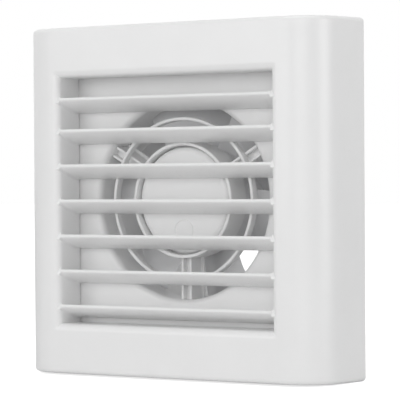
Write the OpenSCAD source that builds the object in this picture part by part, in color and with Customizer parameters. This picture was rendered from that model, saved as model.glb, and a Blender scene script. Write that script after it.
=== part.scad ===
// Square wall extractor fan for a 100 mm round duct.
// X to the right as seen from the room, Z up, +Y into the wall.
// The origin is on the duct axis, in the plane of the wall.

/* [Front cover] */
// Width and height of the square front
cover_w = 158; // [152:1:164]
// How far the front stands off the wall
cover_depth = 41; // [39:0.5:44]
// Wall thickness of the cover moulding
cover_wall = 2.2; // [1.8:0.1:2.4]
// Plan radius of the long left and right front edges
side_radius = 18.6; // [14:0.2:19]
// Radius of the top and bottom front edges and of the outer corners
edge_radius = 2; // [1.2:0.1:2.6]
// How much each side slopes in towards the front
cover_draft = 1; // [0.4:0.1:1.4]

/* [Louvre window] */
// Clear width and height of the square window
window_w = 111; // [108:0.5:113]
// Rounding where the front turns into the window
window_fillet = 3.2; // [2.6:0.1:3.8]
// Depth from the front face to the panel behind the louvres
recess = 16.7; // [16.2:0.1:17.5]
// Thickness of the walls round the window
reveal_wall = 1.8; // [1.4:0.1:2]
// Number of louvre slats
slat_count = 7; // [5:1:7]
// Distance between the two highest slats
slat_top_pitch = 14.2; // [13.6:0.1:15.8]
// Space between the window's top edge and the highest slat
slat_top_gap = 9.1; // [8:0.1:10]
// Space between the window's bottom edge and the front edge of the lowest slat
slat_low_gap = 8.7; // [8:0.1:9.5]
// Thickness of a slat
slat_t = 1.6; // [1.3:0.1:1.8]
// Radius that a slat is curved to
slat_curve = 42; // [38:1:48]
// Slope of a slat at its front edge, in degrees
slat_slope = 30; // [27:1:32]

/* [Fan body] */
// Outside diameter of the duct spigot
spigot_d = 98; // [96:0.5:100]
// Wall thickness of the duct
duct_wall = 2.2; // [1.8:0.1:2.4]
// How far the inlet stands in from the duct bore, on the radius
inlet_step = 2.6; // [2.2:0.1:2.8]
// Radius of the rounded mouth of the inlet
inlet_mouth = 3; // [2.4:0.1:3.4]
// Length of the spigot behind the wall plane
spigot_l = 45; // [38:1:60]
// Thickness of the base flange on the wall
base_t = 3; // [2.6:0.1:3.2]
// Thickness of the other body walls
body_wall = 2; // [1.6:0.1:2.2]
// Distance from the edge of the flange to a wall screw
screw_inset = 7; // [6:0.5:8]
// Diameter of a wall screw hole
screw_hole_d = 4.8; // [4:0.1:5.2]

/* [Inlet guard] */
// Mean radius of the outer guard ring
outer_ring_r = 36.2; // [35:0.1:38]
// Thickness of the guard rings
ring_t = 1.5; // [1.2:0.1:1.7]
// Depth of the outer guard ring
outer_ring_l = 4; // [3.6:0.1:5]
// Space between the motor cup and the inner guard ring
inner_ring_gap = 2.85; // [2.4:0.05:3.7]
// Depth of the struts
strut_l = 9.5; // [9:0.1:10]
// Distance between the two ribs of a strut, centre to centre
rib_spacing = 4.2; // [4.1:0.1:4.6]
// Thickness of a strut rib
rib_t = 1.2; // [1:0.1:1.2]
// Width of the lip along the back of a rib
rib_lip = 2; // [1.5:0.1:2.4]

/* [Motor] */
// Outside radius of the motor cup
cup_r = 21.5; // [21.3:0.1:22]
// Rounding of the front of the motor cup
cup_shoulder = 2.8; // [2.4:0.1:3.2]
// Width of the groove between the front of the cup and the inner guard ring
cup_groove = 0.6; // [0.4:0.1:1]
// Length of the laminated stack
stack_l = 14; // [13:0.5:15]
// Radius of the rotor
rotor_r = 9; // [8.8:0.1:9]
// Air gap between rotor and poles
air_gap = 0.35; // [0.3:0.05:0.4]
// Diameter of the motor shaft
shaft_d = 3; // [2.5:0.1:3.2]
// Running clearance of the shaft in its bearings, on the radius
bearing_clearance = 0.03; // [0.02:0.01:0.08]

/* [Impeller] */
// Number of blades
blade_count = 6; // [5:1:7]
// Running gap between the blade tips and the duct
tip_gap = 1.3; // [1.2:0.1:2.5]
// Angle that one blade covers round the axis
blade_width = 50; // [40:1:50]
// Angle between the blade and the plane of rotation
blade_pitch = 32; // [26:1:34]
// Radius that a blade is curved to
blade_curve = 60; // [50:1:90]
// Thickness of a blade
blade_t = 1.6; // [1.2:0.1:2]
// Angle of the first blade from the X axis
blade_phase = 22; // [0:1:60]

/* [Hidden] */
$fn = 72;

eps = 0.01;
window_r = window_w / 2;
panel_y = recess - cover_depth;
panel_gap = 0.4;

// Body flange inside the cover, and the raised box behind the window
flange_gap = 0.8;
base_w = cover_w - 2 * (cover_wall + flange_gap);
plinth_w = window_w + 7;
screw_spacing = base_w - 2 * screw_inset;

// Cover pegs and the body sockets that they push into
peg_x = base_w / 2 - 9;
peg_z = base_w / 2 - 24;
peg_r = 2.5;
peg_clearance = 0.05;
peg_tip_y = -base_t - 2.5;
socket_r = 4.6;
socket_y = -base_t - 12;
socket_floor_y = -base_t - 1;

// Louvre slats, evenly spaced from the lowest up to the last but one
slat_pitch = (window_w - slat_low_gap - slat_top_gap - slat_top_pitch) / (slat_count - 2);
slat_heights = [for (i = [0 : slat_count - 1])
    -window_r + slat_low_gap + slat_pitch * i - (i == slat_count - 1 ? slat_pitch - slat_top_pitch : 0)];
slat_nose_y = -cover_depth + 1.1;
slat_back_y = panel_y - 1.1;

// Struts of the inlet guard
strut_front_y = panel_y + 3.3;
strut_back_y = strut_front_y + strut_l;
web_y = strut_front_y + 2.8;
web_t = 1.2;
channel_w = rib_spacing - rib_t;

// Duct from the rounded inlet to the spigot
duct_r = spigot_d / 2 - duct_wall;
inlet_r = duct_r - inlet_step;
cone_y = strut_back_y + 0.5;
cone_l = 1.5;

// Motor, whose ends mirror each other about the middle of the stack
shaft_r = shaft_d / 2;
cup_wall = 1.8;
cup_front_y = panel_y + 1.3;
cup_floor_y = cup_front_y + cup_wall;
mark_drop = 13.4;
rim_r = cup_r + inner_ring_gap;
cup_front_r = rim_r - cup_groove;
cup_shelf_y = cup_front_y + cup_shoulder;
motor_boss_l = 3.4;
end_plate_t = 1.5;
end_gap = 4.3;
stack_gap = 0.7;
stack_r = cup_r - cup_wall - stack_gap;
stack_y = cup_floor_y + motor_boss_l + end_plate_t + end_gap;
stack_end_y = stack_y + stack_l;
motor_mid_y = stack_y + stack_l / 2;
pole_r = rotor_r + air_gap;
shoe_r = pole_r + 1.85;
neck_w = 9;
coil_window_z = 15.1;
coil_window_x = 9.2;
motor_screw_x = 15.5;
motor_screw_r = 1.45;
end_plate_y = stack_end_y + end_gap;
bearing_y = stack_end_y + 3;
bearing_l = 5;
bearing_r = 4;
housing_r = 6;
housing_end_y = bearing_y + bearing_l + 0.6;
cup_end_y = housing_end_y + 0.4;

// Coil bobbins on the pole necks
bobbin_z0 = shoe_r + 0.2;
bobbin_z1 = coil_window_z - 0.05;
flange_t = 0.6;
flange_x = coil_window_x - 0.8;
flange_y = 3.6;

// Impeller along the shaft
hub_wall = 1.5;
hub_r = cup_r + 1.5 + hub_wall;
hub_front_y = strut_back_y + 1.2;
hub_web_y = cup_end_y + 1.5;
hub_end_y = hub_web_y + hub_wall;
boss_end_y = hub_end_y + 5.5;
blade_y = (hub_front_y + hub_end_y) / 2 - 2.5;
tip_r = duct_r - tip_gap;

// Wiring space below the raised box
wiring_z = -(plinth_w + base_w) / 4;
pole_x = 4.5;
wire_r = 0.7;
wire_joint = 0.03;
wire_y = web_y + web_t + 1.2;
tube_r = 2.4;
terminal_seat_y = -base_t - 3;
terminal_wire_y = terminal_seat_y - 6;
terminal_y = terminal_seat_y - 11;
terminal_w = 19;
terminal_h = 12;
clamp_screws = [for (x = [-1, 1], z = [-1, 1]) [x * pole_x, wiring_z + 3.2 * z]];
clamp_x = 21;
clamp_screw_z = 5.4;
clamp_seat_y = -base_t - 6.5;
clamp_t = 2.6;
cable_r = 3.5;
entry_x = 38;
entry_y = -1.4;

// ---- drawing helpers ----

// Prism of an X-Z outline from y0 to y1
module slab(y0, y1) translate([0, y1, 0]) rotate([90, 0, 0]) linear_extrude(height = y1 - y0) children();

// Prism of a Y-Z outline, centred on X
module along_x(w) rotate([90, 0, 90]) linear_extrude(height = w, center = true) children();

// Solid of revolution about the Y axis from a radius-Y outline
module spin() rotate([-90, 0, 0]) rotate_extrude() children();

// Round rod along Y at x, z
module rod(r, y0, y1, x = 0, z = 0) translate([x, y0, z]) rotate([-90, 0, 0]) cylinder(r = r, h = y1 - y0);

// Round ring about the Y axis
module band(r0, r1, y0, y1) spin() translate([r0, y0]) square([r1 - r0, y1 - y0]);

// Square with round corners
module round_square(w, r) {
    square([w, w - 2 * r], center = true);
    square([w - 2 * r, w], center = true);
    for (x = [-1, 1], z = [-1, 1]) translate([x, z] * (w / 2 - r)) circle(r = r);
}

// Wedge from the origin between two angles
module wedge(a0, a1, r) polygon([[0, 0], r * [cos(a0), sin(a0)], r * [cos((a0 + a1) / 2), sin((a0 + a1) / 2)],
    r * [cos(a1), sin(a1)]]);

// Same part at both ends of the motor: drawn for the rear, mirrored for the front
module front_end() translate([0, 2 * motor_mid_y, 0]) mirror([0, 1, 0]) children();

// Round wire through a list of points, with round joints
module wire(points, r) for (i = [0 : len(points) - 2]) {
    d = points[i + 1] - points[i];
    translate(points[i]) rotate([0, acos(d[2] / norm(d)), atan2(d[1], d[0])]) cylinder(r = r, h = norm(d));
    if (i > 0) translate(points[i]) sphere(r = r + wire_joint);
}

// ---- front cover ----

// Plan of the cover, inset by t: sides that slope in towards the front and round smoothly into it
module cover_plan(t) {
    slope = atan(cover_draft / cover_depth);
    w = cover_w / 2 - t;
    r = side_radius - t;
    y = -cover_depth + side_radius;
    x = w + y * tan(slope) - r / cos(slope);
    polygon([[-w, t], [w, t], [x + r * cos(slope), y - r * sin(slope)], [x, y], [x, y - r],
        [-x, y - r], [-x, y], [-x - r * cos(slope), y - r * sin(slope)]]);
    for (side = [-1, 1]) translate([side * x, y]) circle(r = r);
}

// Side view of the cover, inset by t, sloping in towards the front
module cover_elevation(t) {
    h = cover_w / 2 - t;
    front_h = h - cover_draft;
    d = cover_depth - t;
    r = max(0.6, edge_radius - t);
    polygon([[t, h], [-d + r, front_h], [-d + r, -front_h], [t, -h]]);
    translate([-d, -front_h + r]) square([2 * r, 2 * (front_h - r)]);
    for (z = [-1, 1]) translate([-d + r, z * (front_h - r)]) circle(r = r);
}

module cover_block(t) intersection() {
    linear_extrude(height = cover_w, center = true) cover_plan(t);
    along_x(cover_w) cover_elevation(t);
    slab(-cover_depth, t) round_square(cover_w - 2 * t, max(0.6, edge_radius - t));
}

// One way through the window: straight walls with a rounded mouth
module window_side(y0, y1) {
    mouth = window_r + window_fillet;
    translate([-window_r, y0]) square([window_w, y1 - y0]);
    difference() {
        translate([-mouth, y0 - 1]) square([2 * mouth, window_fillet + 1]);
        for (x = [-1, 1]) translate([x * mouth, y0 + window_fillet]) circle(r = window_fillet);
    }
}

module window_cut() intersection() {
    linear_extrude(height = cover_w, center = true) window_side(-cover_depth, panel_y);
    along_x(cover_w) rotate(-90) window_side(-cover_depth, panel_y);
}

// Curved slat, with a round front and back edge
module slat_outline() {
    r = slat_curve - slat_t / 2;
    slope_end = asin(sin(slat_slope) - (slat_back_y - slat_nose_y) / r);
    translate(r * [sin(slat_slope), cos(slat_slope)]) {
        intersection() {
            difference() {
                circle(r = r + slat_t / 2);
                circle(r = r - slat_t / 2);
            }
            wedge(270 - slat_slope, 270 - slope_end, 2 * r);
        }
        for (a = [slat_slope, slope_end]) translate(-r * [sin(a), cos(a)]) circle(r = slat_t / 2);
    }
}

module front_cover() color("white") {
    difference() {
        union() {
            difference() {
                cover_block(0);
                cover_block(cover_wall);
            }
            slab(-cover_depth + cover_wall / 2, panel_y - panel_gap)
                square(window_w + 2 * reveal_wall, center = true);
        }
        window_cut();
    }
    for (z = slat_heights) translate([0, slat_nose_y, z - slat_t / 2])
        along_x(window_w + reveal_wall) slat_outline();
    for (x = [-1, 1], z = [-1, 1])
        rod(peg_r, -cover_depth + 2.8, peg_tip_y, x * peg_x, z * peg_z);
}

// ---- fan body ----

// Duct wall from the rounded inlet to the end of the spigot
module duct_profile() difference() {
    spigot_r = spigot_d / 2;
    neck_r = inlet_r + duct_wall;
    polygon([[inlet_r, panel_y], [inlet_r, cone_y], [duct_r, cone_y + cone_l], [duct_r, spigot_l],
        [spigot_r - 0.6, spigot_l], [spigot_r, spigot_l - 2], [spigot_r, -1], [spigot_r - 0.5, -1.5],
        [spigot_r - 0.5, cone_y + cone_l], [neck_r, cone_y], [neck_r, panel_y + inlet_mouth + 1.2],
        [neck_r + 2, panel_y + body_wall], [neck_r + 2, panel_y]]);
    difference() {
        translate([inlet_r - 1, panel_y - 1]) square(inlet_mouth + 1);
        translate([inlet_r, panel_y] + inlet_mouth * [1, 1]) circle(r = inlet_mouth);
    }
}

// Motor cup, closed and rounded at the front, where a shelf joins it to the inner guard ring
module cup_profile() difference() {
    union() {
        translate([0, cup_front_y]) square([cup_front_r - cup_shoulder, cup_shoulder]);
        translate([cup_front_r - cup_shoulder, cup_shelf_y]) circle(r = cup_shoulder);
        translate([0, cup_shelf_y]) square([rim_r + eps, cup_wall]);
        translate([0, cup_shelf_y]) square([cup_r, cup_end_y - cup_shelf_y]);
    }
    translate([-1, cup_floor_y]) square([cup_r - cup_wall + 1, cup_end_y - cup_floor_y + 1]);
    translate([cup_r, cup_shelf_y + cup_wall]) square([rim_r, cup_shoulder]);
}

// Strut that runs down from the inner ring to the duct: two ribs with a lip at the back, and a web
module strut() {
    inner = rim_r + ring_t / 2;
    outer = inlet_r + 0.8;
    for (x = [-1, 1]) translate([x * rib_spacing / 2, 0, -outer]) {
        translate([-rib_t / 2, strut_front_y, 0]) cube([rib_t, strut_l, outer - inner]);
        translate([x > 0 ? 0 : -rib_lip, strut_back_y - rib_t, 0]) cube([rib_lip, rib_t, outer - inner]);
    }
    translate([-rib_spacing / 2, web_y, -outer]) cube([rib_spacing, web_t, outer - inner]);
}

// Openings that let the motor leads out of the cup, the duct and the raised box
module lead_openings() {
    translate([-channel_w / 2, web_y + web_t, -plinth_w / 2 + 6]) cube([channel_w, 2.8, 36]);
    translate([-7, terminal_wire_y - 2, -plinth_w / 2 - 1]) cube([14, 4, body_wall + 2]);
}

module fan_body() color("white") difference() {
    union() {
        slab(-base_t, 0) difference() {
            round_square(base_w, 3);
            square(plinth_w - 2 * body_wall, center = true);
        }
        slab(panel_y, -base_t + eps) difference() {
            round_square(plinth_w, 2);
            square(plinth_w - 2 * body_wall, center = true);
        }
        slab(panel_y, panel_y + body_wall) difference() {
            square(plinth_w - body_wall, center = true);
            circle(r = inlet_r + inlet_mouth + 0.5);
        }
        spin() duct_profile();
        for (a = [45 : 90 : 315], end = [[inlet_r + 1, cone_y], [duct_r + 0.5, -base_t]]) rotate([0, a, 0])
            translate([end[0], panel_y + 1, -0.8])
                cube([plinth_w / sqrt(2) - body_wall - end[0], end[1] - panel_y - 1, 1.6]);
        for (x = [-1, 1], z = [-1, 1]) rod(socket_r, socket_y, -1, x * peg_x, z * peg_z);
        translate([-terminal_w / 2, terminal_seat_y, wiring_z - terminal_h / 2])
            cube([terminal_w, -terminal_seat_y - 1, terminal_h]);
        for (z = [-1, 1]) rod(2.4, clamp_seat_y, -1, clamp_x, wiring_z + z * clamp_screw_z);
    }
    lead_openings();
    for (a = [0, 120, 240]) rotate([0, a, 0]) strut();
    for (x = [-1, 1], z = [-1, 1]) {
        rod(peg_r + peg_clearance, socket_y - 1, socket_floor_y, x * peg_x, z * peg_z);
        rod(screw_hole_d / 2, -base_t - 1, 1, x * screw_spacing / 2, z * screw_spacing / 2);
        rod(1.3, clamp_seat_y - 1, -base_t - 1.5, clamp_x, wiring_z + z * clamp_screw_z);
    }
    rod(1.2, terminal_seat_y - 1, -base_t + 1, 0, wiring_z);
    rod(cable_r + 1, -base_t - 1, 1, entry_x, wiring_z);
    rod(cable_r + 3.5, entry_y, 1, entry_x, wiring_z);
}

// Cup, guard rings and struts in one moulding, with the strut ends let into the duct
module motor_bracket() color("white") difference() {
    union() {
        band(outer_ring_r - ring_t / 2, outer_ring_r + ring_t / 2, panel_y, panel_y + outer_ring_l);
        band(rim_r, rim_r + ring_t, panel_y, strut_back_y);
        spin() cup_profile();
        translate([0, 0, -mark_drop]) band(4.4, 5, cup_front_y - 0.25, cup_front_y + 1);
        for (a = [0, 120, 240]) rotate([0, a, 0]) strut();
        for (x = [-1, 1]) rod(3.2, cup_floor_y - eps, cup_floor_y + motor_boss_l, x * motor_screw_x);
    }
    lead_openings();
    for (x = [-1, 1]) rod(motor_screw_r, cup_floor_y + 0.4, 0, x * motor_screw_x);
}

module cable_grommet() color("dimgray") translate([entry_x, 0, wiring_z]) difference() {
    union() {
        rod(cable_r + 1, -base_t - 1.2, -0.1);
        rod(cable_r + 3, -base_t - 1.2, -base_t);
        rod(cable_r + 3, entry_y, -0.1);
    }
    rod(cable_r, -base_t - 2, 1);
}

// ---- wiring ----

module terminal_block() color("ivory") difference() {
    translate([-terminal_w / 2, terminal_y, wiring_z - terminal_h / 2])
        cube([terminal_w, terminal_seat_y - terminal_y, terminal_h]);
    for (x = [-pole_x, pole_x]) translate([x, terminal_wire_y, wiring_z - terminal_h])
        cylinder(r = tube_r, h = 2 * terminal_h);
    for (p = clamp_screws) rod(1.7, terminal_y - 1, terminal_wire_y, p[0], p[1]);
    rod(1.25, terminal_y - 1, 0, 0, wiring_z);
    rod(1.9, terminal_y - 1, terminal_y + 3, 0, wiring_z);
}

module terminal_tubes() color("goldenrod") for (x = [-pole_x, pole_x]) difference() {
    translate([x, terminal_wire_y, wiring_z - terminal_h / 2 + 1])
        cylinder(r = tube_r - 0.02, h = terminal_h - 2);
    translate([x, terminal_wire_y, wiring_z - terminal_h]) cylinder(r = 1.5, h = 2 * terminal_h);
    for (p = clamp_screws) rod(1.25, terminal_y, terminal_wire_y, p[0], p[1]);
}

// Slotted screw along Y with its head at the front, at y0
module screw(r, head_r, head_t, y0, y1) difference() {
    union() {
        rod(head_r, y0, y0 + head_t);
        rod(r, y0 + head_t - eps, y1);
    }
    translate([-head_r, y0 - 1, -0.3]) cube([2 * head_r, 1 + head_t / 2, 0.6]);
}

module terminal_screws() color("silver") for (p = clamp_screws) translate([p[0], 0, p[1]])
    screw(1.25, 1.5, 1.2, terminal_y + 0.8, terminal_wire_y - wire_r - 0.1);

module terminal_block_screw() color("silver") translate([0, 0, wiring_z])
    screw(1.2, 1.8, 1.4, terminal_y + 1.6, -base_t + 0.6);

module cable_clamp() color("white") difference() {
    translate([clamp_x - 3, clamp_seat_y - clamp_t, wiring_z - clamp_screw_z - 2.4])
        cube([6, clamp_t, 2 * clamp_screw_z + 4.8]);
    for (z = [-1, 1]) rod(1.4, clamp_seat_y - clamp_t - 1, 0, clamp_x, wiring_z + z * clamp_screw_z);
    translate([clamp_x, clamp_seat_y + 2.6, wiring_z]) rotate([0, 90, 0])
        cylinder(r = cable_r, h = 8, center = true);
}

module cable_clamp_screws() color("silver") for (z = [-1, 1])
    translate([clamp_x, 0, wiring_z + z * clamp_screw_z])
        screw(1.3, 2.3, 1.6, clamp_seat_y - clamp_t - 1.6, -base_t - 1.8);

// Lead from the coil, along the strut and down to its terminal
module motor_lead(side) wire([
    [side * 0.75, wire_y, -coil_window_z],
    [side * 0.75, wire_y, -duct_r - 2.6],
    [side * pole_x, terminal_wire_y, -plinth_w / 2 + 4],
    [side * pole_x, terminal_wire_y, wiring_z + 2]], wire_r);

module live_lead() color("saddlebrown") motor_lead(-1);
module neutral_lead() color("royalblue") motor_lead(1);

// ---- motor ----

// Pole above the rotor, with its curved shoe
module pole() difference() {
    union() {
        translate([-neck_w / 2, rotor_r]) square([neck_w, coil_window_z - rotor_r + 0.5]);
        intersection() {
            circle(r = shoe_r);
            wedge(40, 140, 2 * shoe_r);
        }
    }
    circle(r = pole_r);
    intersection() {
        difference() {
            circle(r = shoe_r + 2);
            circle(r = pole_r + 0.45);
        }
        wedge(59, 63, 2 * shoe_r);
    }
}

module stator_stack() color("slategray") slab(stack_y, stack_end_y) {
    difference() {
        circle(r = stack_r);
        square([2 * coil_window_x, 2 * coil_window_z], center = true);
        circle(r = shoe_r);
        for (x = [-1, 1]) translate([x * motor_screw_x, 0]) circle(r = 1.6);
    }
    for (a = [0, 180]) rotate(a) pole();
}

// Box round a pole neck, out by dx and dy, from z0 to z1
module neck_box(dx, dy, z0, z1) translate([-neck_w / 2 - dx, stack_y - dy, z0])
    cube([neck_w + 2 * dx, stack_l + 2 * dy, z1 - z0]);

module coil_bobbins() color("ivory") for (a = [0, 180]) rotate([0, a, 0]) difference() {
    union() {
        neck_box(0.8, 0.8, bobbin_z0, bobbin_z1);
        for (z = [bobbin_z0, bobbin_z1 - flange_t])
            neck_box(flange_x - neck_w / 2, flange_y, z, z + flange_t);
    }
    neck_box(0.1, 0.1, bobbin_z0 - 1, bobbin_z1 + 1);
}

module coil_windings() color("peru") for (a = [0, 180]) rotate([0, a, 0]) difference() {
    neck_box(flange_x - neck_w / 2 - 0.3, flange_y - 0.3, bobbin_z0 + flange_t, bobbin_z1 - flange_t);
    neck_box(0.8, 0.8, bobbin_z0 - 1, bobbin_z1 + 1);
}

// Sector of a ring about the Y axis
module ring_sector(r0, r1, a0, a1, y0, y1) slab(y0, y1) intersection() {
    difference() {
        circle(r = r1);
        circle(r = r0);
    }
    wedge(a0, a1, 2 * r1);
}

module shading_rings() color("chocolate") for (a = [0, 180]) rotate([0, a, 0]) difference() {
    ring_sector(pole_r + 0.55, shoe_r - 0.15, 36, 62.7, stack_y - 0.9, stack_end_y + 0.9);
    ring_sector(pole_r, shoe_r + 1, 39.5, 59.3, stack_y - 0.05, stack_end_y + 0.05);
}

module thermal_fuse() color("gainsboro") translate([-3.5, stack_end_y + flange_y + 1.2, 13.2])
    rotate([0, 90, 0]) cylinder(r = 1.1, h = 7);

// Pressed end bracket of the motor, with its bearing housing
module end_bracket() difference() {
    union() {
        slab(end_plate_y, end_plate_y + end_plate_t) intersection() {
            circle(r = stack_r);
            square([2 * stack_r, 2 * housing_r], center = true);
        }
        for (x = [-1, 1]) rod(3, stack_end_y, end_plate_y + eps, x * motor_screw_x);
        rod(housing_r, bearing_y, housing_end_y);
    }
    for (x = [-1, 1]) rod(1.6, stack_end_y - 1, housing_end_y, x * motor_screw_x);
    rod(bearing_r, bearing_y - 1, bearing_y + bearing_l);
    rod(2.5, bearing_y, housing_end_y + 1);
}

module rear_end_bracket() color("silver") end_bracket();
module front_end_bracket() color("silver") front_end() end_bracket();

module bearing() band(shaft_r + bearing_clearance, bearing_r, bearing_y, bearing_y + bearing_l);

module rear_bearing() color("darkgoldenrod") bearing();
module front_bearing() color("darkgoldenrod") front_end() bearing();

module motor_screws() color("silver") for (x = [-1, 1]) translate([x * motor_screw_x, 0, 0])
    rotate([0, 0, 180]) screw(motor_screw_r, 2.8, 2, -end_plate_y - end_plate_t - 2, -cup_floor_y - 0.6);

module rotor_core() color("gray") difference() {
    union() {
        rod(rotor_r, stack_y, stack_end_y);
        rod(3, stack_y - 2.3, stack_end_y + 2.3);
    }
    rod(shaft_r, stack_y - 5, stack_end_y + 5);
}

module rotor_cage() color("lightgray") {
    band(5.5, rotor_r - 0.4, stack_end_y, stack_end_y + 2);
    front_end() band(5.5, rotor_r - 0.4, stack_end_y, stack_end_y + 2);
}

module motor_shaft() color("silver") rod(shaft_r, 2 * motor_mid_y - housing_end_y + 0.2, boss_end_y + 1.9);

module thrust_washers() color("wheat") {
    band(shaft_r, 2.9, stack_end_y + 2.3, bearing_y - 0.15);
    front_end() band(shaft_r, 2.9, stack_end_y + 2.3, bearing_y - 0.15);
}

// ---- impeller ----

// Curved plate across the air stream, for a blade that points along +X
module blade() {
    n = [cos(blade_pitch), sin(blade_pitch)];
    intersection() {
        band(hub_r - hub_wall / 2, tip_r, hub_front_y + 0.8, hub_end_y + 4);
        translate([tip_r / 2 + 10, 0, 0]) along_x(tip_r)
            translate([blade_y, 0] + blade_curve * n) difference() {
                circle(r = blade_curve + blade_t / 2);
                circle(r = blade_curve - blade_t / 2);
            }
        slab(-20, 30) wedge(-blade_width / 2, blade_width / 2, 2 * tip_r);
    }
}

module impeller() color("whitesmoke") {
    difference() {
        union() {
            band(hub_r - hub_wall, hub_r, hub_front_y, hub_end_y);
            rod(hub_r - eps, hub_web_y, hub_end_y);
            rod(4.5, hub_web_y - 0.9, boss_end_y);
        }
        rod(shaft_r, 0, boss_end_y + 5);
    }
    for (i = [0 : blade_count - 1]) rotate([0, blade_phase + i * 360 / blade_count, 0]) blade();
}

module impeller_clip() color("silver") difference() {
    rod(4.6, boss_end_y, boss_end_y + 0.7);
    rod(shaft_r, boss_end_y - 1, boss_end_y + 2);
    for (a = [0, 60, 120]) rotate([0, a, 0]) translate([1.2, boss_end_y - 1, -0.25]) cube([1.9, 3, 0.5]);
}

front_cover();
fan_body();
motor_bracket();
cable_grommet();
terminal_block();
terminal_tubes();
terminal_screws();
terminal_block_screw();
cable_clamp();
cable_clamp_screws();
live_lead();
neutral_lead();
stator_stack();
coil_bobbins();
coil_windings();
shading_rings();
thermal_fuse();
front_end_bracket();
rear_end_bracket();
front_bearing();
rear_bearing();
motor_screws();
rotor_core();
rotor_cage();
motor_shaft();
thrust_washers();
impeller();
impeller_clip();
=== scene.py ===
# %% [markdown]
# # A square louvred extractor fan
#
# The real object is a small bathroom fan: a white clip-on front with seven fixed slats, and behind it
# a white body with a round inlet, a guard of two rings, a motor cup on three struts, and an impeller in
# a duct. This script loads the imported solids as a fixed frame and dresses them. Shapes that need soft,
# moulded edges are worked out again with numpy, and the rest keep their solids and get a finish.

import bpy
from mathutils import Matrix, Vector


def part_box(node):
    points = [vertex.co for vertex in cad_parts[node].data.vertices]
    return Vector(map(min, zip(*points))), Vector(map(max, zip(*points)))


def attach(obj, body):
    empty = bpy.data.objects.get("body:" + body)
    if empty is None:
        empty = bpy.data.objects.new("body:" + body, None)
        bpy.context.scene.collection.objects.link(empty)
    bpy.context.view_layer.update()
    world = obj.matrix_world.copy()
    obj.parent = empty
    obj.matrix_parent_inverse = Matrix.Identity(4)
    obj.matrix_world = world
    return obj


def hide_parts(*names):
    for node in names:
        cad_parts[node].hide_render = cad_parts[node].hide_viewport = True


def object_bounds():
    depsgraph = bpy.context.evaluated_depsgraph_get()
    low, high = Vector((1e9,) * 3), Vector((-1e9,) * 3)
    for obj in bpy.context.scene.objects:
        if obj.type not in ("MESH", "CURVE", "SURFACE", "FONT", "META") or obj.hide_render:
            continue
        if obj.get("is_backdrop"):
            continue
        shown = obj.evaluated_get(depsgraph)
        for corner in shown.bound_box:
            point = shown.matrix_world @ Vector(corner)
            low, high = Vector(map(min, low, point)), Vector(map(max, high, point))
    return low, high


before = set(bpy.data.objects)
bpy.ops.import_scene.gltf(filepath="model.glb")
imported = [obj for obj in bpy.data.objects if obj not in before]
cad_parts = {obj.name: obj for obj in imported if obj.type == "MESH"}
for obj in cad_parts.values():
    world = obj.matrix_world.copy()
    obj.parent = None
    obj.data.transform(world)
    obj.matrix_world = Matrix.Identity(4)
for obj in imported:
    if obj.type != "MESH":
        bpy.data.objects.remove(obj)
cad_box = [list(map(float, corner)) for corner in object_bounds()]

import math
import bpy
import bmesh
import numpy as np
from mathutils import Matrix, Vector

MM = 0.001
print("frame box in mm:", [[round(v / MM, 1) for v in corner] for corner in cad_box])

# %% [markdown]
# ## Meshes from grids
#
# Every new surface here is a grid of points: one array axis for each of two parameters. Neighbouring
# points make a quad. A grid can be closed on itself along either axis, which turns a sheet into a tube
# or a ring. Points that fall on each other are merged afterwards, so poles and seams are closed, and
# the normals are turned outward.

# %% Grid to mesh
def quads(nu, nv, close_u, close_v):
    """Corner numbers of the quads of an nu by nv grid; a closed axis joins its last row to its first."""
    i = np.arange(nu if close_u else nu - 1)[:, None]
    j = np.arange(nv if close_v else nv - 1)[None, :]
    i2, j2 = (i + 1) % nu, (j + 1) % nv
    corners = [i * nv + j, i2 * nv + j, i2 * nv + j2, i * nv + j2]
    return np.stack([c + 0 * (i + j) for c in corners], -1).reshape(-1, 4)


def piece(name, sheets, material, sharp=32):
    """One object from sheets of (points in mm, close_u, close_v); edges over `sharp` degrees stay crisp."""
    points, faces, start = [], [], 0
    for grid, close_u, close_v in sheets:
        points.append(grid.reshape(-1, 3))
        faces.append(quads(grid.shape[0], grid.shape[1], close_u, close_v) + start)
        start += points[-1].shape[0]
    mesh = bpy.data.meshes.new(name)
    points, faces = np.concatenate(points) * MM, np.concatenate(faces)
    mesh.vertices.add(len(points))
    mesh.vertices.foreach_set("co", points.ravel())
    mesh.loops.add(faces.size)
    mesh.loops.foreach_set("vertex_index", faces.ravel())
    mesh.polygons.add(len(faces))
    mesh.polygons.foreach_set("loop_start", np.arange(len(faces)) * 4)
    mesh.update(calc_edges=True)
    close_up(mesh)
    mesh.polygons.foreach_set("use_smooth", np.ones(len(mesh.polygons), bool))
    mesh.set_sharp_from_angle(angle=math.radians(sharp))
    obj = bpy.data.objects.new(name, mesh)
    bpy.context.scene.collection.objects.link(obj)
    mesh.materials.append(material)
    print(name, len(mesh.polygons), "faces")
    return obj


def close_up(mesh):
    """Merges points closer than a micrometre, drops collapsed quads, and turns the faces outward."""
    bm = bmesh.new()
    bm.from_mesh(mesh)
    bmesh.ops.remove_doubles(bm, verts=bm.verts, dist=1e-6)
    bmesh.ops.dissolve_degenerate(bm, edges=bm.edges, dist=1e-7)
    bmesh.ops.recalc_face_normals(bm, faces=bm.faces)
    bm.to_mesh(mesh)
    bm.free()


print("a closed ring of 3 by 4 points has", len(quads(3, 4, True, True)), "quads")

# %% [markdown]
# ## Colours and nodes
#
# Colours are picked as they look on a screen and turned into linear light once. One helper adds any
# shader node: its settings by name, and its inputs from a dictionary, where a socket makes a link and a
# plain value is set on the input itself.

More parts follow.
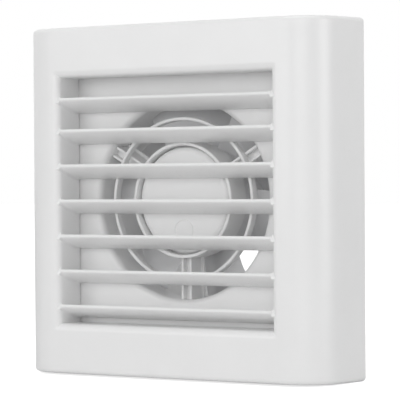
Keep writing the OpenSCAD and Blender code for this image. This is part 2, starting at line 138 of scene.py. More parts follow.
# %% Colour and node helpers
def srgb(r, g, b):
    """Linear RGBA from screen values of 0 to 255, by the sRGB curve: a power of 2.4 above a short line."""
    c = np.array([r, g, b]) / 255
    linear = np.where(c <= 0.04045, c / 12.92, ((c + 0.055) / 1.055) ** 2.4)
    return (*linear.tolist(), 1.0)


def add(tree, kind, inputs=None, **settings):
    """One shader node: settings by name, and inputs that are linked or set."""
    node = tree.nodes.new("ShaderNode" + kind)
    for key, value in settings.items():
        setattr(node, key, value)
    for key, value in (inputs or {}).items():
        if isinstance(value, bpy.types.NodeSocket):
            tree.links.new(value, node.inputs[key])
        else:
            node.inputs[key].default_value = value
    return node


def finish(name, **principled):
    """A new material that holds only its shader; returns material, tree, shader and object coordinates."""
    material = bpy.data.materials.new(name)
    material.use_nodes = True
    tree = material.node_tree
    tree.nodes.clear()
    shader = add(tree, "BsdfPrincipled", principled)
    tree.links.new(shader.outputs[0], add(tree, "OutputMaterial").inputs[0])
    return material, tree, shader, add(tree, "TexCoord").outputs["Object"]


def noise(tree, place, size_mm, detail=2.0, stretch=(1, 1, 1)):
    """Noise whose features are about size_mm across, drawn out along an axis by a stretch below 1."""
    scaled = add(tree, "Mapping", {"Vector": place, "Scale": stretch})
    node = add(tree, "TexNoise", {"Vector": scaled.outputs[0], "Scale": 1 / (size_mm * MM), "Detail": detail})
    return node.outputs["Fac"]


def spread(tree, value, low, high):
    """Maps the middle of a noise, 0.3 to 0.7, onto low to high."""
    ends = {"Value": value, "From Min": 0.3, "From Max": 0.7, "To Min": low, "To Max": high}
    return add(tree, "MapRange", ends).outputs[0]


def relief(tree, height, depth_um, below=None):
    """A bump of depth_um microns, on top of another bump where one is given."""
    inputs = {"Height": height, "Distance": depth_um * 1e-6, "Strength": 1.0}
    if below:
        inputs["Normal"] = below
    return add(tree, "Bump", inputs).outputs[0]


def shade(tree, value, dark, light):
    """Blends two colours by a value of 0 to 1."""
    return add(tree, "Mix", {0: value, 6: dark, 7: light}, data_type="RGBA").outputs[2]


print("white ABS in linear light:", [round(v, 3) for v in srgb(248, 248, 248)[:3]])

# %% [markdown]
# ## White moulded plastics
#
# The cover is injection-moulded ABS from a polished tool: glossy enough to carry soft reflections, with a
# faint unevenness where the walls shrank on cooling. The body behind it comes from a plainer tool and is
# more satin, and the impeller is a slightly greyer polypropylene. One recipe makes them and the other
# moulded or glazed parts: a broad noise moves the colour a little, a fine one is the grain of the tool and
# moves the roughness, and both tilt the surface through a bump. The grain is 0.35 mm across and a few
# microns deep, as on a real moulding.

# %% Plastics
sink_mm, grain_mm = 22, 0.35


def moulding(name, light, dark, roughness, grain_um, wave_um, ior=1.53):
    """A moulded finish: colour between two shades, roughness, depth of the grain and of the sink marks."""
    material, tree, shader, place = finish(name, IOR=ior)
    broad = noise(tree, place, sink_mm, 3)
    grain = noise(tree, place, grain_mm, 2)
    tree.links.new(shade(tree, spread(tree, broad, 0, 1), dark, light), shader.inputs["Base Color"])
    tree.links.new(spread(tree, grain, roughness - 0.03, roughness + 0.03), shader.inputs["Roughness"])
    wave = relief(tree, broad, wave_um)
    tree.links.new(relief(tree, grain, grain_um, wave), shader.inputs["Normal"])
    return material


cover_white = moulding("moulded_abs_cover", srgb(248, 248, 248), srgb(246, 246, 246), 0.30, 0.5, 20)
body_white = moulding("moulded_abs_body", srgb(248, 248, 248), srgb(246, 246, 246), 0.40, 0.8, 20)
impeller_white = moulding("moulded_polypropylene", srgb(238, 238, 239), srgb(234, 234, 235),
                          0.38, 0.8, 30, 1.49)
nylon = moulding("natural_nylon", srgb(236, 231, 214), srgb(226, 220, 200), 0.45, 8, 20)
rubber = moulding("soft_rubber", srgb(52, 52, 53), srgb(38, 38, 39), 0.72, 25, 20, 1.50)
brown_pvc = moulding("brown_pvc", srgb(96, 58, 38), srgb(82, 48, 30), 0.42, 4, 10)
blue_pvc = moulding("blue_pvc", srgb(48, 92, 160), srgb(38, 78, 142), 0.42, 4, 10)
fibre = moulding("waxed_fibre", srgb(176, 146, 106), srgb(150, 120, 84), 0.62, 20, 10)
ceramic = moulding("glazed_ceramic", srgb(232, 228, 214), srgb(224, 219, 204), 0.18, 3, 15, 1.55)
print("plastics:", cover_white.name, body_white.name, impeller_white.name)

# %% [markdown]
# ## Metals
# The small metal parts differ by how they were made. Turned and ground steel has fine rings or streaks, so
# its noise is drawn out; pressed laminations show their stacked edges as thin dark lines 0.5 mm apart;
# enamelled wire shows its turns, with painted shade as thin dark lines in the grooves between them;
# sintered bronze is porous and dark with oil.

# %% Metals
def metal(name, light, dark, roughness, size_mm, stretch, depth_um):
    """A metal whose streaks are size_mm across, drawn out by a stretch, and depth_um microns deep."""
    material, tree, shader, place = finish(name, Metallic=1.0)
    streak = noise(tree, place, size_mm, 4, stretch)
    tree.links.new(shade(tree, spread(tree, streak, 0, 1), dark, light), shader.inputs["Base Color"])
    tree.links.new(spread(tree, streak, roughness + 0.06, roughness - 0.06), shader.inputs["Roughness"])
    tree.links.new(relief(tree, streak, depth_um), shader.inputs["Normal"])
    return material, tree, shader, place


def layers(material, tree, shader, place, axis, pitch_mm, gap):
    """Thin dark lines every pitch_mm along an axis: the dark joints of stacked sheets, and for a winding,
    painted shade in the grooves between its turns.
    """
    base = shader.inputs["Base Color"].links[0].from_socket
    split = add(tree, "SeparateXYZ", {0: place})
    turn = add(tree, "Math", {0: split.outputs[axis], 1: pitch_mm * MM}, operation="PINGPONG")
    width = pitch_mm * MM * gap
    line = add(tree, "MapRange", {"Value": turn.outputs[0], "From Min": 0.0, "From Max": width}).outputs[0]
    # the dark colour is the joint colour of stacked sheets, and painted shade in the grooves of a winding
    tree.links.new(shade(tree, line, srgb(40, 36, 32), base), shader.inputs["Base Color"])
    tree.links.new(relief(tree, line, 60), shader.inputs["Normal"])
    return material


even = (1, 1, 1)
zinc = metal("bright_zinc_steel", srgb(202, 204, 208), srgb(178, 180, 186), 0.32, 0.8, even, 3)[0]
ground_steel = metal("ground_shaft_steel", srgb(206, 206, 208), srgb(184, 184, 188),
                     0.16, 0.3, (1, 0.05, 1), 1)[0]
brass = metal("turned_brass", srgb(214, 182, 108), srgb(190, 156, 84), 0.28, 0.25, (1, 1, 0.1), 3)[0]
aluminium = metal("cast_aluminium", srgb(204, 205, 206), srgb(180, 181, 183), 0.42, 0.5, even, 12)[0]
bronze = metal("oiled_sintered_bronze", srgb(168, 128, 78), srgb(128, 94, 56), 0.46, 0.15, even, 14)[0]
shading_copper = metal("bare_copper", srgb(206, 134, 100), srgb(176, 104, 76), 0.30, 0.6, even, 3)[0]
steel_sheet = metal("stacked_laminations", srgb(132, 134, 138), srgb(108, 110, 116), 0.45, 0.8, even, 6)
laminations = layers(*steel_sheet, axis=1, pitch_mm=0.5, gap=0.25)
wire = metal("enamelled_copper_wire", srgb(186, 96, 54), srgb(150, 70, 38), 0.30, 1.5, even, 4)
# painted shade: dark lines in the grooves between the turns of the winding
windings = layers(*wire, axis=2, pitch_mm=0.28, gap=0.5)
print("metals:", [m.name for m in (zinc, ground_steel, brass, aluminium, bronze, laminations, windings)])

# %% [markdown]
# ## Finishes for the parts that keep their solids
#
# Most of the motor and the wiring is right as it comes from the frame. Each of those nodes gets its finish
# on the object's own material slot, so the mesh itself isn't touched.

# %% Dress the carried-over nodes
finishes = {
    "cable_grommet": rubber, "terminal_block": nylon, "terminal_tubes": brass, "terminal_screws": zinc,
    "terminal_block_screw": zinc, "cable_clamp": body_white, "cable_clamp_screws": zinc,
    "live_lead": brown_pvc, "neutral_lead": blue_pvc, "stator_stack": laminations, "coil_bobbins": nylon,
    "coil_windings": windings, "shading_rings": shading_copper, "thermal_fuse": ceramic,
    "front_end_bracket": zinc, "rear_end_bracket": zinc, "front_bearing": bronze, "rear_bearing": bronze,
    "motor_screws": zinc, "rotor_core": laminations, "rotor_cage": aluminium, "motor_shaft": ground_steel,
    "thrust_washers": fibre, "impeller_clip": zinc,
}
for name, material in finishes.items():
    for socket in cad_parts[name].material_slots:
        socket.link = "OBJECT"
        socket.material = material
print(len(finishes), "nodes dressed")

# %% [markdown]
# ## Sizes read from the frame
#
# The frame's boxes give the places: the cover's box gives its width and the depth of its front. The few
# sizes that a box can't give are the maker's own, in millimetres.

# %% Sizes
def box_mm(node):
    """Low and high corner of a node's box, in mm."""
    low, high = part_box(node)
    return np.array(low) / MM, np.array(high) / MM


cover_low, cover_high = box_mm("front_cover")
half_w = cover_high[0]
front_y = cover_low[1]
draft = 1.0
side_r, edge_r, wall = 18.6, 2.0, 2.2
window, mouth_r, reveal = 55.5, 3.2, 1.8
reveal_y = front_y + 16.3
arc_y = front_y + side_r
arc_x = half_w + arc_y * draft / -front_y - math.hypot(1, draft / -front_y) * side_r
print(f"front at {front_y:.1f} mm, half width {half_w:.1f} mm, side arc about x {arc_x:.2f} mm")

# %% [markdown]
# ## The front cover
#
# The cover is one thin moulding: a flat front, long soft left and right edges of almost 19 mm radius, crisp
# top and bottom edges of 2 mm, and a square window whose border rolls in with a radius of about 3 mm. It
# could be boxes with bevels, but the two kinds of edge meet in corners that a bevel gets wrong. So it is
# worked out as loops round the window. Each loop is a rounded rectangle, and the loops run from the wall
# over the side, across the front, through the window, and back along the inside. That closes the moulding.

# %% A loop round the window
def runs(n):
    """Steps from 0 to 1 on a straight run, close together at its ends to keep corner shading in the corner.

    Step k of n is (1 - cos(pi * k / (n - 1))) / 2."""
    return (1 - np.cos(np.linspace(0, np.pi, n))) / 2


def loop(corner_x, corner_z, n=14):
    """Full loop from one corner's points (x, z from side to top), mirrored to the other three corners.

    Straight runs join the corners: corner k ends where the next begins, and n steps lie between."""
    cx, cz = np.asarray(corner_x), np.asarray(corner_z)
    signs = [(1, 1, 1), (-1, 1, -1), (-1, -1, 1), (1, -1, -1)]
    xs, zs = [], []
    for k, (sx, sz, order) in enumerate(signs):
        x, z = (sx * cx)[::order], (sz * cz)[::order]
        nx, nz, next_order = signs[(k + 1) % 4]
        x2, z2 = (nx * cx)[::next_order][0], (nz * cz)[::next_order][0]
        t = runs(n)[1:-1]
        xs += [x, x[-1] + (x2 - x[-1]) * t]
        zs += [z, z[-1] + (z2 - z[-1]) * t]
    return np.concatenate(xs), np.concatenate(zs)


def shell_corner(y, inset, fillet, steps=9):
    """Corner of the cover's cross-section at depth y.

    The plan is a straight drafted side that turns into an arc of radius side_r. The top edge is rounded by
    `fillet`, and the rounding follows the plan: at angle p round the fillet, the plan's radius is smaller by
    fillet * (1 - cos p), which gives x from the circle through that depth, and z rises with sin p."""
    r = side_r - inset
    top = half_w - inset + min(y, 0.0) * draft / -front_y
    back = arc_y - y
    reach = np.clip((back - (r - fillet)) / fillet, 0, 1)
    p = np.linspace(0, math.acos(reach) if reach > 0 else math.pi / 2, steps)
    shrunk = r - fillet * (1 - np.cos(p))
    on_arc = arc_x + np.sqrt(np.maximum(shrunk**2 - back**2, 0))
    straight = half_w - inset + y * draft / -front_y - fillet * (1 - np.cos(p))
    x = np.where(back > 0, np.minimum(on_arc, straight + 1e-3), straight)
    return x, top - fillet * (1 - np.sin(p))


print("front corner at", [round(float(v[-1]), 2) for v in shell_corner(front_y, 0, edge_r)], "mm")

# %% [markdown]
# ## The cover's shell
#
# The loops go from the rear rim over the outside to the front, round the window's border, along the walls
# of the window to their rear edge, and back along the inside to the rim. Small steps of 0.3 mm take the
# sharpness off the rim and off the rear edge of the window, as wear and polishing do on a tool.

# %% The cover's shell
def stack(loops):
    """Grid of loops: each entry is a depth and the corner's x and z."""
    rows = []
    for y, x, z in loops:
        lx, lz = loop(x, z)
        rows.append(np.stack([lx, np.full_like(lx, y), lz], -1))
    return np.stack(rows)


def square(half, steps=9):
    """A sharp corner, with as many points as a round one so that the loops match."""
    return np.full(steps, float(half)), np.full(steps, float(half))


turn = np.linspace(0, np.pi / 2, 22)
last = np.linspace(0, np.pi / 2, 9)
cut = 0.3
outer_y = np.concatenate([[-cut, -1, -4, -9, -14, -18], arc_y - side_r * np.sin(turn[:-3]),
                          front_y + edge_r * (1 - np.sin(last))])
outer_y = np.unique(np.round(outer_y, 4))[::-1]
inner_turn = arc_y - (side_r - wall) * np.sin(turn)
inner_y = np.unique(np.round(np.concatenate([inner_turn, [-18, -9, -3, -cut]]), 4))
roll = np.linspace(0, np.pi / 2, 12)

loops = [(0.0, *[c - cut for c in shell_corner(0.0, 0, edge_r)])]
loops += [(y, *shell_corner(y, 0, edge_r)) for y in outer_y]
for t in (0.02, 0.5, 0.98):
    x, z = shell_corner(front_y, 0, edge_r)
    loops.append((front_y, x + (window + mouth_r - x) * t, z + (window + mouth_r - z) * t))
loops += [(front_y + mouth_r * (1 - math.cos(a)), *square(window + mouth_r * (1 - math.sin(a)))) for a in roll]
loops += [(y, *square(window)) for y in (front_y + 8, reveal_y - 3, reveal_y - cut)]
loops += [(reveal_y, *square(window + cut)), (reveal_y, *square(window + reveal - cut))]
loops += [(y, *square(window + reveal)) for y in (reveal_y - cut, reveal_y - 4, front_y + 4)]
loops += [(front_y + wall, *square(window + reveal + 0.6))]
loops += [(y, *shell_corner(y, wall, 0.6)) for y in inner_y]
loops += [(0.0, *[c + cut for c in shell_corner(0.0, wall, 0.6)])]
shell = stack(loops)
print("shell grid", shell.shape, "from", shell.min((0, 1)).round(2), "to", shell.max((0, 1)).round(2))

# %% [markdown]
# ## The louvre slats
#
# Seven curved slats close the window against a straight look in while air passes. Each is a strip 1.6 mm
# thick, bent to a 42 mm radius, high at the front and low at the back, with round edges. The slats are part
# of the cover moulding, so each end swells into the window's wall with a small root fillet. The section
# is a closed outline carried along x, and its half thickness grows towards the wall.

# %% Slat section and roots
slat_t, bend, slope = 1.6, 42.0, math.radians(30)
nose_y, back_y = front_y + 1.1, front_y + 15.6
heights = (-46.8, -31.0, -15.2, 0.6, 16.4, 32.2, 46.4)
into_wall = 1.7


def slat(height, root=1.0, along=15, edge=7):
    """Closed section (u) carried along x (v).

    The middle line is an arc of radius bend that starts level with the slope at the nose and flattens
    backwards. The outline lies half a thickness off it on both sides, with half circles round the two
    edges. Within `root` of the wall the half thickness grows by root - sqrt(root^2 - (root - d)^2),
    a quarter circle, and the strip runs on into the wall, where its ends close on their middles."""
    r = bend - slat_t / 2
    end = math.asin(math.sin(slope) - (back_y - nose_y) / r)
    angles = np.linspace(slope, end, along)
    centre_y, centre_z = nose_y + r * math.sin(slope), height - slat_t / 2 + r * math.cos(slope)
    mid = np.stack([centre_y - r * np.sin(angles), centre_z - r * np.cos(angles)], -1)
    normal = np.stack([-np.sin(angles), -np.cos(angles)], -1)
    half_turn = np.linspace(0, np.pi, edge + 2)[1:-1]

    def cap(k, sign):
        """Middle point k of the line, repeated, and the directions of the half circle round it."""
        tangent = np.array([-normal[k][1], normal[k][0]]) * sign
        return mid[k][None].repeat(edge, 0), (np.cos(half_turn)[:, None] * normal[k] * sign,
                                              np.sin(half_turn)[:, None] * tangent)

    back_mid, back_dir = cap(-1, 1)
    nose_mid, nose_dir = cap(0, -1)
    line = np.concatenate([mid, back_mid, mid[::-1], nose_mid])
    across = np.concatenate([normal, back_dir[0], -normal[::-1], nose_dir[0]])
    ahead = np.concatenate([0 * normal, back_dir[1], 0 * normal, nose_dir[1]])
    d = np.concatenate([root * (1 - np.cos(np.linspace(0, np.pi / 2, 8))), [root + 0.8, 12, 30]])
    x = np.concatenate([[-window - into_wall], -window + d, [0], (window - d)[::-1], [window + into_wall]])
    gap = np.clip(window - np.abs(x), 0, root)
    swell = root - np.sqrt(np.maximum(root**2 - (root - gap) ** 2, 0))
    section = (line[:, None] + across[:, None] * (slat_t / 2 + swell)[None, :, None]
               + ahead[:, None] * (slat_t / 2 - swell / 2)[None, :, None])
    grid = np.stack([np.broadcast_to(x, section.shape[:2]), section[..., 0], section[..., 1]], -1)
    ends = grid[:, [0, -1]].mean(0, keepdims=True).repeat(len(grid), 0)
    return np.concatenate([ends[:, :1], grid, ends[:, 1:]], 1)


slats = [(slat(h), True, False) for h in heights]
print("slat section of", slats[0][0].shape[0], "points,", len(slats), "slats")

# %% [markdown]
# ## The cover's pegs
#
# Four round pegs push into sockets of the body and hold the cover by friction. Each is a turned profile with
# a tapered tip, and stands on the inside of the front.

# %% Turned shapes, and the cover put together
def turned(profile, x=0.0, z=0.0, around=48):
    """Surface of revolution about a line along y: each (radius, y) of the profile becomes a circle."""
    r, y = np.asarray(profile, float).T
    a = np.linspace(0, 2 * np.pi, around, endpoint=False)[:, None]
    return np.stack([x + r * np.cos(a), y + 0 * a, z + r * np.sin(a)], -1)


peg_y, peg_x, peg_z = front_y + 3.6, 67, 52
peg_profile = [(0, peg_y), (2.5, peg_y), (2.5, -7.2), (2.35, -6.2), (1.9, -5.6), (0, -5.5)]
pegs = [(turned(peg_profile, x, z), True, False) for x in (-peg_x, peg_x) for z in (-peg_z, peg_z)]
cover = piece("cover_moulding", [(shell, True, True)] + slats + pegs, cover_white)
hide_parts("front_cover")
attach(cover, "cover")

# %% [markdown]
# ## The body
#
# The body is a white moulding with many small walls, ribs and bosses, and its solid already has the right
# shape. What a solid lacks is the small radius that every moulded edge has, and that catches the light. So
# the mesh is copied, its doubled points are merged, the triangles of each flat face are joined, and a
# bevel rounds every edge that turns by more than 35 degrees. The bevel has two steps and hardened normals,
# which keeps the flat faces flat in shading.

# %% Softened copy of the body
def softened(name, node, radius, material, sharp=35):
    """A merged copy of a node's mesh with a bevel of `radius` mm on edges over `sharp` degrees."""
    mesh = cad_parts[node].data.copy()
    mesh.name = name
    bm = bmesh.new()
    bm.from_mesh(mesh)
    bmesh.ops.remove_doubles(bm, verts=bm.verts, dist=2e-6)
    bmesh.ops.dissolve_limit(bm, angle_limit=math.radians(0.6), verts=bm.verts, edges=bm.edges)
    bmesh.ops.recalc_face_normals(bm, faces=bm.faces)
    for face in bm.faces:
        face.smooth = True
    bm.to_mesh(mesh)
    bm.free()
    mesh.materials.clear()
    mesh.materials.append(material)
    if mesh.has_custom_normals:
        mesh.attributes.remove(mesh.attributes["custom_normal"])
    mesh.set_sharp_from_angle(angle=math.radians(sharp))
    obj = bpy.data.objects.new(name, mesh)
    bpy.context.scene.collection.objects.link(obj)
    bevel = obj.modifiers.new("edge_radius", "BEVEL")
    bevel.width = radius * MM
    bevel.segments = 2
    bevel.limit_method = "ANGLE"
    bevel.angle_limit = math.radians(sharp)
    bevel.use_clamp_overlap = False
    bevel.harden_normals = True
    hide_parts(node)
    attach(obj, "body")
    print(name, len(mesh.polygons), "faces before the bevel")
    return obj


body = softened("body_moulding", "fan_body", 0.3, body_white)

# %% [markdown]
# ## The motor bracket
#
# The motor hangs in a moulding of its own: a closed cup with a rounded shoulder, a deep inner ring that a
# shelf ties to the cup, a shallow outer ring, and three struts. Each strut is a pair of thin ribs with a lip
# along the back, tied by a web between them, so from the front it reads as a shallow channel. The round
# parts are turned profiles, and a strut is an outline with small corner radii, carried outward. A bevelled
# copy of the solid could do it too, but its radii break up where the thin walls meet.

# %% Outlines with round corners
def rounded(corners, radius, steps=4):
    """Closed outline: each corner is cut back by radius * tan(half its turn) and bridged by a true arc.

    With unit directions a (in) and b (out), the arc's centre lies off the corner along b - a, and a point at
    share t of the turn is the centre plus the blend of the two radii, set back to length `radius`."""
    corners = np.asarray(corners, float)
    radius = np.broadcast_to(radius, len(corners))
    points = []
    for before, corner, after, r in zip(np.roll(corners, 1, 0), corners, np.roll(corners, -1, 0), radius):
        a = (corner - before) / np.linalg.norm(corner - before)
        b = (after - corner) / np.linalg.norm(after - corner)
        turned_by = math.acos(np.clip(a @ b, -1, 1))
        if r == 0 or turned_by < 0.01:
            points.append(corner[None])
            continue
        back = r * math.tan(turned_by / 2)
        start, inward = corner - a * back, (b - a) / np.linalg.norm(b - a)
        centre = corner + inward * r / math.cos(turned_by / 2)
        t = np.linspace(0, turned_by, steps + 1)[:, None]
        points.append(centre + (start - centre) * np.cos(t) + a * r * np.sin(t))
    return np.concatenate(points)


def swept(outline, near, far, heart):
    """The outline (x, y), carried down from z = -near to -far and closed at both ends on the point `heart`."""
    x, y = outline[:, 0], outline[:, 1]
    rows = [(*heart, near), (x, y, near), (x, y, (near + far) / 2), (x, y, far), (*heart, far)]
    return np.stack([np.stack([x * 0 + a, x * 0 + b, x * 0 - c], -1) for a, b, c in rows], 1)


def about(grid, degrees):
    """The grid turned about the y axis: +x goes towards -z."""
    c, n = math.cos(math.radians(degrees)), math.sin(math.radians(degrees))
    x, y, z = grid[..., 0], grid[..., 1], grid[..., 2]
    return np.stack([x * c + z * n, y, z * c - x * n], -1)


print("a square with round corners has", len(rounded([(0, 0), (1, 0), (1, 1), (0, 1)], 0.2)), "points")

# %% [markdown]
# ## Rings, cup and struts
#
# All depths count from the front of the rings, which lies in the plane of the body's panel. The cup's
# profile starts on the axis, goes over the shoulder into the groove, along the shelf under the inner ring,
# back along the outside of the cup to its open end, and returns inside to the axis. The low round mark on
# the cup's face is where the plastic was let into the tool, and two screw bosses stand behind the face.

# %% Rings, cup and struts
bracket_low, bracket_high = box_mm("motor_bracket")
panel_y, cup_end = bracket_low[1], bracket_high[1]
rim, ring_t, cup_y, shelf_y, rib_back = 24.35, 1.5, panel_y + 1.3, panel_y + 4.1, panel_y + 12.8
shoulder_r, groove, shelf_t, duct_wall = 2.8, 1.3, 0.5, 44.9


def ring(inner, outer, near, far, radius=0.45):
    """Round bar with rounded edges about the y axis."""
    return turned(rounded([(inner, near), (outer, near), (outer, far), (inner, far)], radius), around=144)


shoulder = np.linspace(np.pi / 2, 0, 10)
cup_profile = [(0, cup_y), (5, cup_y), (12, cup_y), (18, cup_y), (20.9, cup_y)]
cup_profile += [(rim - 3.4 + shoulder_r * math.cos(a), shelf_y - shoulder_r * math.sin(a)) for a in shoulder]
cup_profile += [(rim - 0.6, shelf_y + groove), (rim + 0.7, shelf_y + groove),
                (rim + 0.7, shelf_y + groove + shelf_t), (21.5, shelf_y + groove + shelf_t),
                (21.5, cup_end - 0.3), (21.2, cup_end), (20.0, cup_end), (19.7, cup_end - 0.3),
                (19.7, cup_y + 2.2), (19.3, cup_y + 1.8), (0, cup_y + 1.8)]
mark_front, mark_back = cup_y - 0.25, cup_y + 0.8
mark_outline = rounded([(4.4, mark_front), (5.0, mark_front), (5.0, mark_back), (4.4, mark_back)],
                       [0.2, 0.2, 0, 0])
mark = turned(mark_outline, z=-13.4, around=64)
boss_profile = [(1.45, cup_y + 2.2), (3.2, cup_y + 1.7), (3.2, cup_y + 5.0), (3.0, cup_y + 5.2),
                (1.6, cup_y + 5.2), (1.45, cup_y + 5.05)]
bosses = [turned(boss_profile, x) for x in (-15.5, 15.5)]
rib_front, lip_y = panel_y + 3.3, rib_back - 1.2
rib_corners = [(1.5, rib_front), (2.7, rib_front), (2.7, lip_y), (4.1, lip_y), (4.1, rib_back), (1.5, rib_back)]
rib = rounded(rib_corners, [0.35, 0.35, 0.4, 0.3, 0.3, 0.3])
web_front, web_back = panel_y + 6.1, panel_y + 7.3
web = rounded([(-2.1, web_front), (2.1, web_front), (2.1, web_back), (-2.1, web_back)], 0.05, 1)
struts = []
for turn_deg in (0, 120, 240):
    for side in (-1, 1):
        heart = (side * 2.1, rib_back - 0.6)
        struts.append(about(swept(rib * [side, 1], rim + 0.75, duct_wall, heart), turn_deg))
    struts.append(about(swept(web, rim + 0.75, duct_wall, (0, panel_y + 6.7)), turn_deg))
outer_ring = ring(35.45, 35.45 + ring_t, panel_y, panel_y + 4)
inner_ring = ring(rim, rim + ring_t, panel_y, rib_back)
sheets = [(outer_ring, True, True), (inner_ring, True, True),
          (turned(cup_profile, around=144), True, False), (mark, True, True)]
sheets += [(boss, True, True) for boss in bosses] + [(strut, True, False) for strut in struts]
bracket = piece("bracket_moulding", sheets, body_white)
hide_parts("motor_bracket")
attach(bracket, "body")

# %% [markdown]
# ## The impeller
#
# A hub like a cup fits over the motor, and six curved blades stand on it. The hub is a turned profile. Each
# blade is a bent plate: its section across the air stream is an arc of 60 mm radius at 32 degrees of
# pitch, thickest ahead of its middle and thin at its edges, broader at the hub, and its tip is cut to a
# circle that just clears the duct. One closed outline round the section, carried from hub to tip, makes a
# blade.

# %% Impeller
blade_count, phase = 6, -22.0
blade_y, blade_bend, pitch = -0.65, 60.0, math.radians(32)
hub_r, tip_r = 24.5, box_mm("impeller")[1][0]
bend_y, bend_z = blade_y + blade_bend * math.cos(pitch), blade_bend * math.sin(pitch)


def blade(turn_deg, half_width=28.0, chord=25, span=14):
    """Closed outline round the section (u), from hub to tip (v).

    s runs from -1 to 1 across the blade. The angle from the blade's middle is s * half_width, which is up
    to 5 degrees more at the hub and less near the tip, so that the tip corners are round. The depth y is
    that of a circle of radius blade_bend about (bend_y, bend_z) at the height r * sin(angle). The half
    thickness follows (1 - s^2)^0.3 * (1 - s / 3), so it is round at the edges and thickest ahead of the
    middle, and it falls by about a third from hub to tip."""
    a = np.linspace(0, 2 * np.pi, 2 * chord, endpoint=False)
    s, side = np.cos(a)[:, None], np.sin(a)[:, None]
    k = np.linspace(0, 1, span)[None, :]
    r = hub_r - 1.0 + (tip_r - hub_r + 1.0) * (1 - (1 - k) ** 1.3)
    corner = 3.0
    near = np.clip((r - (tip_r - corner)) / corner, 0, 1)
    wider = 5.0 * np.clip(1 - (r - hub_r) / 12, 0, 1)
    angle = np.radians((half_width + wider) * s * (1 - 0.13 * (1 - np.sqrt(1 - near**2))))
    x, z = r * np.cos(angle), r * np.sin(angle)
    y = bend_y - np.sqrt(blade_bend**2 - (z - bend_z) ** 2)
    half = 1.05 * np.abs(side) ** 0.6 * (1 - s / 3) * (1 - 0.35 * (r - hub_r) / (tip_r - hub_r))
    normal = np.stack([bend_y - y, bend_z - z], -1) / blade_bend
    y = y + np.sign(side) * half * normal[..., 0]
    z = z + np.sign(side) * half * normal[..., 1]
    t = math.radians(turn_deg)
    grid = np.stack([x * math.cos(t) - z * math.sin(t), y, x * math.sin(t) + z * math.cos(t)], -1)
    tip = grid[:, -1:].mean(0, keepdims=True).repeat(grid.shape[0], 0)
    inner = grid[:, :1].mean(0, keepdims=True).repeat(grid.shape[0], 0)
    return np.concatenate([inner, grid, tip], 1)


hub_profile = [(23.0, 12.5), (23.0, -9.9), (23.3, -10.3), (24.2, -10.3), (24.5, -10.0), (24.5, 12.4),
               (24.1, 13.4), (23.2, 14.0), (5.2, 14.0), (4.7, 14.3), (4.5, 15.0), (4.5, 19.1), (4.2, 19.5),
               (1.5, 19.5), (1.5, 11.6), (4.3, 11.6), (4.5, 11.9), (4.5, 12.3), (4.8, 12.5), (22.4, 12.5)]
blades = [(blade(phase + 360 / blade_count * k), True, False) for k in range(blade_count)]
impeller = piece("impeller_moulding", [(turned(hub_profile, around=96), True, True)] + blades, impeller_white)
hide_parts("impeller")
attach(impeller, "rotor")

# %% [markdown]
# ## Floor, light and camera
#
# The fan stands on a plain pale floor under soft light. The world is an even grey-white to everything but
# the camera and mirror-like rays, which see it white. The floor adds a little glow of its own for the camera
# only, so that it reads as white while the shadow stays in it.

# %% Floor and world
floor_z = cad_box[0][2]
floor_mat, tree, shader, _ = finish("pale_floor", Roughness=0.9)
shader.inputs["Base Color"].default_value = srgb(240, 240, 240)
seen = add(tree, "LightPath").outputs["Is Camera Ray"]
strength = add(tree, "Math", {0: seen, 1: 0.75}, operation="MULTIPLY").outputs[0]
glow = add(tree, "Emission", {"Color": (1, 1, 1, 1), "Strength": strength})
both = add(tree, "AddShader", {0: shader.outputs[0], 1: glow.outputs[0]})
tree.links.new(both.outputs[0], tree.nodes["Material Output"].inputs[0])
span = np.linspace(-1, 1, 9) * 6000
floor_grid = np.stack(np.broadcast_arrays(span[:, None], span[None, :], floor_z / MM - 0.05), -1)
floor = piece("floor", [(floor_grid, False, False)], floor_mat)
floor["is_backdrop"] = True

world = bpy.data.worlds.new("studio")
bpy.context.scene.world = world
world.use_nodes = True
tree = world.node_tree
tree.nodes.clear()
path = add(tree, "LightPath")
rays = [path.outputs[f"Is {kind} Ray"] for kind in ("Camera", "Glossy", "Transmission")]
mirror = add(tree, "Math", {0: rays[0], 1: rays[1]}, operation="MAXIMUM")
clear = add(tree, "Math", {0: mirror.outputs[0], 1: rays[2]}, operation="MAXIMUM")
plain = add(tree, "Background", {"Color": (1, 1, 1, 1), "Strength": 0.31})
white = add(tree, "Background", {"Color": (1, 1, 1, 1), "Strength": 1.0})
mixed = add(tree, "MixShader", {0: clear.outputs[0], 1: plain.outputs[0], 2: white.outputs[0]})
tree.links.new(mixed.outputs[0], add(tree, "OutputWorld").inputs[0])
print("floor at", round(floor_z / MM, 2), "mm")

# %% [markdown]
# ## Lamps
#
# Two softboxes stand in front, to the left and to the right, a little higher than the fan, so that their
# light passes between the slats and reaches the panel. A large one hangs overhead and lights the floor,
# which sends light up under the slats, and one to the right fills in the side of the cover.

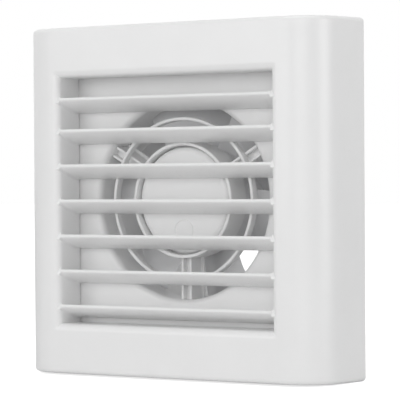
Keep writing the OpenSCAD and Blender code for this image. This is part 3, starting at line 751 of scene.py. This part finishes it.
# %% Lamps
def lamp(name, direction, distance, width, height, power):
    """A rectangular softbox that looks at the origin from a direction; metres and watts."""
    light = bpy.data.lights.new(name, "AREA")
    light.shape, light.size, light.size_y, light.energy = "RECTANGLE", width, height, power
    obj = bpy.data.objects.new(name, light)
    v = np.array(direction) / np.linalg.norm(direction)
    obj.location = v * distance
    obj.rotation_euler = Vector(-v).to_track_quat("-Z", "Y").to_euler()
    bpy.context.scene.collection.objects.link(obj)
    return obj


lamps = [lamp("key", (-0.30, -0.95, 0.22), 1.7, 1.2, 0.7, 5.7),
         lamp("front", (0.50, -0.86, 0.22), 1.7, 0.9, 0.7, 3.5),
         lamp("top", (0.0, -0.12, 1.0), 1.7, 1.4, 1.4, 10.0),
         lamp("fill", (1.0, 0.10, 0.1), 1.8, 0.9, 0.9, 7.0)]
print("lamps:", [(obj.name, round(obj.data.energy, 1)) for obj in lamps], "W")

# %% [markdown]
# ## Camera
#
# The camera looks at the fan from the right of its front, almost level, from a little under a metre. Its
# place is given as a turn round the fan, a rise, a roll and a distance, so that each can be checked alone.

# %% Camera
turn_angle, tilt, roll_angle = math.radians(32.55), math.radians(-0.49), math.radians(-0.378)
distance = 0.9339
target = np.array([14.37, front_y + 9.13, 0.17]) * MM
level = np.array([math.cos(turn_angle), math.sin(turn_angle), 0.0])
inward = np.array([-math.sin(turn_angle), math.cos(turn_angle), 0.0])
ahead = inward * math.cos(tilt) + np.array([0.0, 0.0, math.sin(tilt)])
upright = np.cross(level, ahead)
right = level * math.cos(roll_angle) + upright * math.sin(roll_angle)
up = np.cross(right, ahead)
place = target - ahead * distance
camera_data = bpy.data.cameras.new("camera")
camera_data.sensor_width, camera_data.lens = 36.0, 192.1
camera = bpy.data.objects.new("camera", camera_data)
axes = np.stack([right, up, -ahead], 1)
camera.matrix_world = Matrix([[*row, p] for row, p in zip(axes, place)] + [[0, 0, 0, 1]])
bpy.context.scene.collection.objects.link(camera)
bpy.context.scene.camera = camera
bpy.context.scene.view_settings.view_transform = "Standard"
print("camera at", place.round(4))

# %% [markdown]
# ## The size of the visible pieces
#
# The box of the visible pieces is printed in mm, as the frame's box is at the start.

# %% Finish
visual_box = [list(map(float, corner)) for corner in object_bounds()]
print("visual box in mm:", [[round(v / MM, 1) for v in corner] for corner in visual_box])
